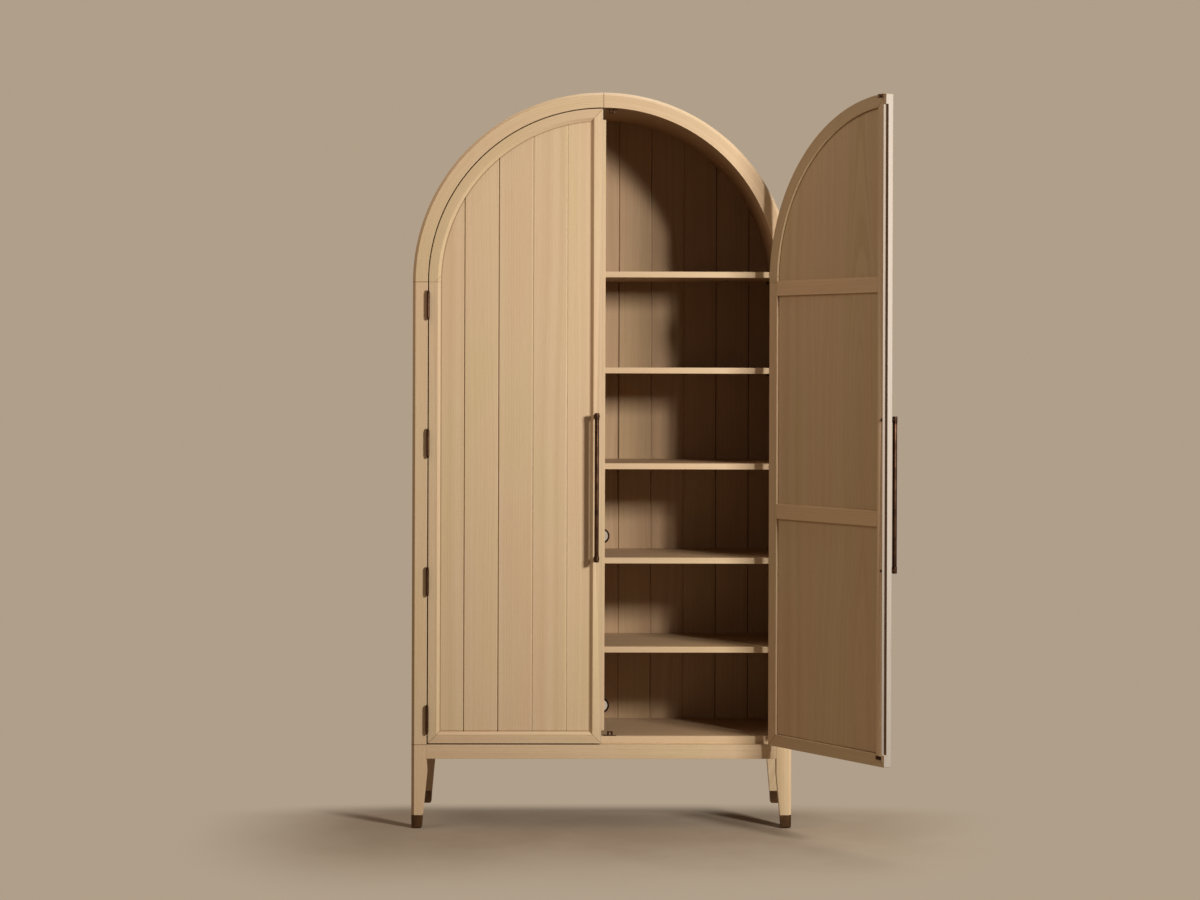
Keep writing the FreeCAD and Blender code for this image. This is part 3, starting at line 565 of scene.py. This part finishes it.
def add_part(shape, part):
    """Adds one part to a shape, and frees the part."""
    mesh = bpy.data.meshes.new("part")
    part.to_mesh(mesh)
    part.free()
    shape.from_mesh(mesh)
    bpy.data.meshes.remove(mesh)


def block(shape, low, high, rounding):
    """A box between two corners with rounded edges."""
    part = bmesh.new()
    low, high = Vector(low), Vector(high)
    bmesh.ops.create_cube(part, size=1.0)
    for corner in part.verts:
        corner.co = (low + high) / 2 + corner.co * (high - low)
    bmesh.ops.bevel(part, geom=part.edges[:], offset=rounding, segments=2, profile=0.5, affect="EDGES")
    add_part(shape, part)


def cross_head(shape, base, direction, radius, height, slot=CROSS_SLOT, turn=0.4):
    """The head of a screw with a crossed slot, as a thin disc and four low quarters on it."""
    face = Vector(direction).to_track_quat("Z", "X").to_matrix()
    rise = height * 0.35
    turned(shape, [(0, -height), (radius, -height), (radius, rise), (0, rise)], base, direction, 24)
    half = slot / 2
    reach = radius * 0.97
    first = math.asin(half / reach)
    angles = [first + (math.pi / 2 - 2 * first) * n / 6 for n in range(7)]
    rim = [(reach * math.cos(angle), reach * math.sin(angle), 0) for angle in angles]
    lift = Vector(direction).normalized() * height
    for quarter in range(4):
        part = bmesh.new()
        spin = Matrix.Rotation(turn + quarter * math.pi / 2, 3, "Z")
        bottom = [part.verts.new(face @ (spin @ Vector(point)) + Vector(base))
                  for point in [(half, half, 0)] + rim]
        top = [part.verts.new(corner.co + lift) for corner in bottom]
        part.faces.new(bottom[::-1])
        part.faces.new(top)
        for n, corner in enumerate(bottom):
            part.faces.new([bottom[n - 1], corner, top[n], top[n - 1]])
        add_part(shape, part)


def place_piece(node, draw, body, matrices=ONCE, material=BRONZE):
    """Draws what takes a CAD node's place, repeats it through the matrices and puts it on its body."""
    shape = bmesh.new()
    draw(shape)
    bmesh.ops.recalc_face_normals(shape, faces=shape.faces[:])
    whole = bmesh.new()
    for matrix in matrices:
        copy = shape.copy()
        copy.transform(matrix)
        if matrix.determinant() < 0:
            bmesh.ops.reverse_faces(copy, faces=copy.faces[:])
        add_part(whole, copy)
    shape.free()
    mesh = bpy.data.meshes.new(node + "_round")
    whole.to_mesh(mesh)
    whole.free()
    mesh.materials.append(material)
    mesh.polygons.foreach_set("use_smooth", [True] * len(mesh.polygons))
    mesh.set_sharp_from_angle(angle=math.radians(32))
    made = bpy.data.objects.new(node + "_round", mesh)
    bpy.context.scene.collection.objects.link(made)
    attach(made, body)
    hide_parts(node)


# Hinges

def hinge_pins(shape):
    """The pins, with a collar and an acorn at each end. A pin's shaft runs a little into its ends."""
    crown = [(BARREL - 0.0002, 0.0002), (BARREL, 0.0010), (0.0035, 0.0017), (0.0035, 0.0022),
             (0.0043, 0.0033), (0.0040, 0.0052), (0.0030, 0.0072), (0.0018, 0.0086), (0.0013, 0.0090),
             (0.0009, 0.0095), (0, 0.0095)]
    crown = [(0, 0.0002)] + softened(crown, 0.0008)
    overrun = 0.0006
    half = LEAF_HEIGHT / 2
    length = 2 * (half + overrun)
    for height in HINGE_HEIGHTS:
        for end, direction in ((height + half, 1), (height - half, -1)):
            turned(shape, crown, (-HINGE_X, HINGE_Y, end), (0, 0, direction), 40)
        turned(shape, [(0, 0), (HINGE_PIN_RADIUS, 0), (HINGE_PIN_RADIUS, length), (0, length)],
               (-HINGE_X, HINGE_Y, height - half - overrun), (0, 0, 1), 32)


def hinge_leaves(shape, plate_x, numbers, screw_side):
    """Leaves with their own knuckles, and three countersunk screws on the face that the gap shows."""
    bore = HINGE_PIN_RADIUS + 0.00005
    edge = 0.0005
    ring = [(bore, 0.0003), (bore + 0.0002, 0), (BARREL - edge, 0), (BARREL, edge), (BARREL, KNUCKLE - edge),
            (BARREL - edge, KNUCKLE), (bore + 0.0002, KNUCKLE), (bore, KNUCKLE - 0.0003)]
    far_x = plate_x + LEAF_THICKNESS
    face_x = far_x if screw_side > 0 else plate_x
    for height in HINGE_HEIGHTS:
        low = height - LEAF_HEIGHT / 2
        block(shape, (plate_x, FRONT + 0.0004, low), (far_x, FRONT + LEAF_DEPTH, low + LEAF_HEIGHT), 0.0004)
        for number in numbers:
            base = low + number * (KNUCKLE + KNUCKLE_GAP)
            turned(shape, ring, (-HINGE_X, HINGE_Y, base), (0, 0, 1), 40, ring=True)
            block(shape, (plate_x, HINGE_Y + 0.0020, base + 0.0001),
                  (far_x, FRONT + 0.003, base + KNUCKLE - 0.0001), 0.0003)
        for step, depth in LEAF_SCREWS:
            cross_head(shape, (face_x - screw_side * 0.00025, FRONT + depth, height + step),
                       (screw_side, 0, 0), 0.0033, 0.0003, turn=step * 30)


def case_leaves(shape):
    hinge_leaves(shape, -INNER_RADIUS - LEAF_THICKNESS, (0, 2, 4), 1)


def door_leaves(shape):
    hinge_leaves(shape, -DOOR_RADIUS, (1, 3), -1)


place_piece("hinge_pins", hinge_pins, "cabinet", BOTH_SIDES)
place_piece("hinge_case_leaves", case_leaves, "cabinet", BOTH_SIDES)
for side, body, matrix in DOORS:
    place_piece(side + "_hinge_leaves", door_leaves, body, (matrix,))


# Handles

def handle(shape):
    """A round bar with a ferrule at each end, on two posts that flare to a rosette."""
    upper = [(0.0065, HANDLE_HALF - 0.0196), (0.0061, HANDLE_HALF - 0.0194), (0.0061, HANDLE_HALF - 0.0190),
             (0.0072, HANDLE_HALF - 0.0190), (0.0072, HANDLE_HALF - 0.0012), (0.0060, HANDLE_HALF),
             (0, HANDLE_HALF)]
    lower = [(radius, -height) for radius, height in reversed(upper)]
    turned(shape, softened(lower + upper, 0.0009), (HANDLE_X, HANDLE_Y, HANDLE_Z), (0, 0, 1), 48)
    post = [(0, 0.0001), (0.0083, 0.0001), (0.0085, 0.0006), (0.0085, 0.0020), (0.0079, 0.0026),
            (0.0066, 0.0040), (0.0058, 0.0062), (0.0056, 0.0090), (0.0056, 0.0230), (0, 0.0230)]
    for step in (-POST_HALF, POST_HALF):
        turned(shape, softened(post, 0.0008), (HANDLE_X, FRONT, HANDLE_Z + step), (0, -1, 0), 40)


def handle_screws(shape):
    """The screws of a handle: a domed head on the back of the door, and a shank that ends inside the post."""
    dome = [(0, -0.0340), (0.0019, -0.0340), (0.0019, -0.0001), (0.0044, 0.0), (0.0044, 0.0006),
            (0.0036, 0.0011), (0.0020, 0.0013), (0, 0.0013)]
    for step in (-POST_HALF, POST_HALF):
        turned(shape, dome, (HANDLE_X, DOOR_BACK, HANDLE_Z + step), (0, 1, 0), 24)
        cross_head(shape, (HANDLE_X, DOOR_BACK + 0.0010, HANDLE_Z + step), (0, 1, 0), 0.0022, 0.0004)


for side, body, matrix in DOORS:
    place_piece(side + "_handle", handle, body, (matrix,))
    place_piece(side + "_handle_screws", handle_screws, body, (matrix,))


# Catches

def seated(matrices):
    """Each catch's place, above and below, for every given matrix."""
    return [matrix @ Matrix.Translation((0, 0, seat)) @ Matrix.Scale(direction, 4, (0, 0, 1))
            for matrix in matrices for seat, direction in CATCH_SEATS]


def strike(shape):
    """A plate with rounded corners, two screws, and a tongue that ends in a bulb."""
    block(shape, (CATCH_X - 0.011, DOOR_BACK, BALL_RISE - 0.00725),
          (CATCH_X + 0.011, DOOR_BACK + 0.0016, BALL_RISE + 0.00325), 0.0005)
    block(shape, (CATCH_X - 0.0007, DOOR_BACK + 0.001, BALL_RISE - 0.0018),
          (CATCH_X + 0.0007, DOOR_BACK + 0.0104, BALL_RISE + 0.0018), 0.0002)
    turned(shape, softened([(0, -0.0018), (0.0014, -0.0018), (0.0014, 0.0018), (0, 0.0018)], 0.0004),
           (CATCH_X, DOOR_BACK + 0.0106, BALL_RISE), (0, 0, 1), 24)
    for step in (-0.0072, 0.0072):
        cross_head(shape, (CATCH_X + step, DOOR_BACK + 0.0015, BALL_RISE - 0.002), (0, 1, 0), 0.0023, 0.0004,
                   slot=CATCH_SLOT)


def housing(shape):
    """The catch's bridge: two cheeks and a top over a slot, on a flange with two screws."""
    front, back = CATCH_FRONT, CATCH_FRONT + CATCH_DEPTH
    middle = (front + back) / 2
    block(shape, (CATCH_X - FLANGE_HALF, front, 0), (CATCH_X + FLANGE_HALF, back, 0.0016), 0.0004)
    block(shape, (CATCH_X - 0.0086, front + 0.0001, 0.0110),
          (CATCH_X + 0.0086, back - 0.0001, 0.0130), 0.0006)
    ring = [(0.0024, 0), (0.0032, 0), (0.0032, 0.0010), (0.0024, 0.0010)]
    for side in (-1, 1):
        near, far = sorted((CATCH_X + side * 0.0028, CATCH_X + side * 0.0085))
        block(shape, (near, front + 0.0001, 0.0010), (far, back - 0.0001, 0.0125), 0.0003)
        turned(shape, ring, (CATCH_X + side * 0.0033, middle, BALL_RISE), (-side, 0, 0), 28, ring=True)
        cross_head(shape, (CATCH_X + side * 0.0138, middle, 0.0016), (0, 0, 1), 0.0027, 0.0004,
                   slot=CATCH_SLOT)


def ball(shape, centre):
    """A catch ball, turned about a line from door to door."""
    angles = [math.pi * n / 20 for n in range(21)]
    arc = [(BALL_RADIUS * math.sin(angle), -BALL_RADIUS * math.cos(angle)) for angle in angles]
    turned(shape, arc, centre, (1, 0, 0), 32)


for side, body, matrix in DOORS:
    place_piece(side + "_strikes", strike, body, seated([matrix]))
place_piece("catch_housings", housing, "cabinet", seated(BOTH_SIDES))
for name in sorted(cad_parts):
    if name.startswith("ball_"):
        low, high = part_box(name)
        place_piece(name, lambda shape: ball(shape, (low + high) / 2), name + "_body", material=STEEL)


# Rings of the cord holes, pins of the shelves, caps of the feet

def cord_grommets(shape):
    """A ring with a rounded flange in each cord hole of the back."""
    ring = [(0.0188, -0.0012), (0.0196, -0.0016), (0.0232, -0.0016), (0.0238, -0.0011),
            (0.0240, -0.0002), (0.0238, 0), (0.0208, 0), (0.0208, 0.0118), (0.0205, 0.0120),
            (0.0191, 0.0120), (0.0188, 0.0117)]
    for top in (BOTTOM_TOP, SHELF_TOPS[1]):
        turned(shape, ring, (0, BACK_FACE, top + CORD_HOLE_RISE), (0, 1, 0), 56, ring=True)


def shelf_pin(shape, side, x, y, z):
    """A round pin with a collar against the wall and a flat paddle under the shelf."""
    rod = softened([(0, 0), (0.0025, 0), (0.0025, 0.0188), (0, 0.0188)], 0.0005)
    turned(shape, rod, (x + side * 0.010, y, z), (-side, 0, 0), 24)
    collar = softened([(0, 0.0005), (0.0038, 0.0005), (0.0038, 0.0016), (0, 0.0016)], 0.0003)
    turned(shape, collar, (x, y, z), (-side, 0, 0), 28)
    near, far = sorted((x - side * 0.0012, x - side * 0.0090))
    block(shape, (near, y - 0.004, z + 0.0022), (far, y + 0.004, z + PADDLE_RISE), 0.0005)
    block(shape, (near, y - 0.0012, z), (far - 0.0001, y + 0.0012, z + 0.0026), 0.0003)


def shelf_pins(shape):
    """Four pins under each shelf. The highest shelf lies above the springing, where the walls lean in."""
    for top in SHELF_TOPS:
        z = top - SHELF_THICKNESS - PADDLE_RISE
        x = math.sqrt(INNER_RADIUS ** 2 - max(z - SPRINGING, 0) ** 2)
        for side in (-1, 1):
            for y in SHELF_PIN_ROWS:
                shelf_pin(shape, side, side * x, y, z)


place_piece("cord_grommets", cord_grommets, "cabinet")
place_piece("shelf_pins", shelf_pins, "cabinet")

# The caps keep their CAD form, with rounder edges
caps = bpy.data.objects.new("foot_caps_round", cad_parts["foot_caps"].data.copy())
bpy.context.scene.collection.objects.link(caps)
dress(caps, CAP_BRONZE, CAP_ROUNDING, 3)
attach(caps, "cabinet")
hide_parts("foot_caps")


# Floor, light and camera

BACKGROUND = linear(176, 159, 138)
ROOM_COLOUR = (1.0, 0.82, 0.70, 1.0)
ROOM_STRENGTH = 0.12
PALE_FLOOR = linear(164, 149, 130)
DARK_FLOOR = linear(153, 137, 117)
FLOOR_BOUNCE = linear(150, 132, 112)
FLOOR_HALF = 60.0
# The floor shows as it is, shadow and all, as far as SHADOW_SIDE to either side and between the lines
# SHADOW_FRONT and SHADOW_BACK. Past them it fades into the background over the distances in FADE, sooner
# beside and behind.
SHADOW_SIDE = 0.56
SHADOW_FRONT = -0.24
SHADOW_BACK = -0.05
SIDE_HASTE = 1.5
BACK_HASTE = 4.0
FADE = (0.10, 1.05)


def seen(tree):
    """Whether a ray comes from the camera, straight or through a reflection."""
    path = tree.nodes.new("ShaderNodeLightPath")
    either = tree.nodes.new("ShaderNodeMath")
    either.operation = "MAXIMUM"
    tree.links.new(path.outputs["Is Camera Ray"], either.inputs[0])
    tree.links.new(path.outputs["Is Glossy Ray"], either.inputs[1])
    return either.outputs[0]


def floor():
    """A wide pale floor that keeps the cabinet's shadow and fades into the background round it."""
    graph = Graph("pale_floor")
    place = graph.put("TexCoord").outputs["Object"]
    mottle = graph.noise(place, scale=1.6, detail=5.0, roughness=0.6)
    colour = graph.mix(graph.spread(mottle, 0.35, 0.65, smooth=True), PALE_FLOOR, DARK_FLOOR)
    matt = graph.put("BsdfPrincipled", {"Base Color": colour, "Roughness": 0.9,
                                        "Specular IOR Level": 0.1}).outputs[0]
    dim = graph.put("BsdfDiffuse", {"Color": FLOOR_BOUNCE}).outputs[0]
    glow = graph.put("Emission", {"Color": BACKGROUND, "Strength": 1.0}).outputs[0]
    x, y, _ = graph.split(place)
    beside, before, behind = [graph.math("MAXIMUM", graph.math("SUBTRACT", more, less), 0.0) for more, less in
                              ((graph.math("ABSOLUTE", x), SHADOW_SIDE), (SHADOW_FRONT, y), (y, SHADOW_BACK))]
    away = graph.length(graph.math("MULTIPLY", beside, SIDE_HASTE),
                        graph.math("ADD", before, graph.math("MULTIPLY", behind, BACK_HASTE)))
    shown = graph.put("MixShader", {0: graph.spread(away, *FADE, smooth=True), 1: matt, 2: glow}).outputs[0]
    material = graph.finish(graph.put("MixShader", {0: seen(graph.tree), 1: dim, 2: shown}).outputs[0])
    mesh = bpy.data.meshes.new("floor")
    corners = [(x * FLOOR_HALF, y * FLOOR_HALF, 0) for x, y in ((-1, -1), (1, -1), (1, 1), (-1, 1))]
    mesh.from_pydata(corners, [], [(0, 1, 2, 3)])
    mesh.materials.append(material)
    made = bpy.data.objects.new("floor", mesh)
    bpy.context.scene.collection.objects.link(made)
    made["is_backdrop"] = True


floor()

world = bpy.data.worlds.new("studio")
bpy.context.scene.world = world
world.use_nodes = True
nodes, links = world.node_tree.nodes, world.node_tree.links
nodes.clear()
light = nodes.new("ShaderNodeBackground")
light.inputs["Color"].default_value = ROOM_COLOUR
light.inputs["Strength"].default_value = ROOM_STRENGTH
backdrop = nodes.new("ShaderNodeBackground")
backdrop.inputs["Color"].default_value = BACKGROUND
choose = nodes.new("ShaderNodeMixShader")
output = nodes.new("ShaderNodeOutputWorld")
links.new(seen(world.node_tree), choose.inputs[0])
links.new(light.outputs[0], choose.inputs[1])
links.new(backdrop.outputs[0], choose.inputs[2])
links.new(choose.outputs[0], output.inputs["Surface"])

LAMP_TARGET = Vector((0, 0, 1.1))
# Name, azimuth and elevation in degrees, distance and size in metres, power in watts, colour
LAMPS = (("key", 40.1, 14.5, 3.72, 0.46, 148, (1.0, 0.985, 0.965)),
         ("fill", -66, 46, 2.7, 1.6, 18, (1.0, 0.79, 0.64)),
         ("top", 150, 72, 3.2, 1.4, 60, (1.0, 0.98, 0.95)))
for name, azimuth, elevation, distance, size, power, colour in LAMPS:
    data = bpy.data.lights.new(name, "AREA")
    data.shape = "SQUARE"
    data.size = size
    data.energy = power
    data.color = colour
    lamp = bpy.data.objects.new(name, data)
    bpy.context.scene.collection.objects.link(lamp)
    turn, rise = math.radians(azimuth), math.radians(elevation)
    outwards = math.cos(rise)
    towards = Vector((math.sin(turn) * outwards, -math.cos(turn) * outwards, math.sin(rise)))
    lamp.location = LAMP_TARGET + towards * distance
    lamp.rotation_euler = towards.to_track_quat("Z", "Y").to_euler()
    lamp.visible_camera = False

# The camera was fitted to the photograph: its place in metres, its turns in radians, its lens and sensor in
# millimetres, its shift in widths of the picture
CAMERA_PLACE = (-0.0270, -7.5199, 1.3492)
CAMERA_TURN, CAMERA_NOD, CAMERA_ROLL = -0.01709, -0.00193, 0.00337
CAMERA_SENSOR = 36.0
CAMERA_LENS = 74.42
CAMERA_SHIFT = (-0.03007, -0.0629)
camera_data = bpy.data.cameras.new("camera")
camera_data.sensor_fit = "HORIZONTAL"
camera_data.sensor_width = CAMERA_SENSOR
camera_data.lens = CAMERA_LENS
camera_data.shift_x, camera_data.shift_y = CAMERA_SHIFT
camera = bpy.data.objects.new("camera", camera_data)
bpy.context.scene.collection.objects.link(camera)
camera.matrix_world = (Matrix.Translation(CAMERA_PLACE) @ Matrix.Rotation(CAMERA_TURN, 4, "Z")
                       @ Matrix.Rotation(math.pi / 2 + CAMERA_NOD, 4, "X")
                       @ Matrix.Rotation(CAMERA_ROLL, 4, "Z"))
bpy.context.scene.camera = camera
bpy.context.scene.view_settings.view_transform = "Standard"

low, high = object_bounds()
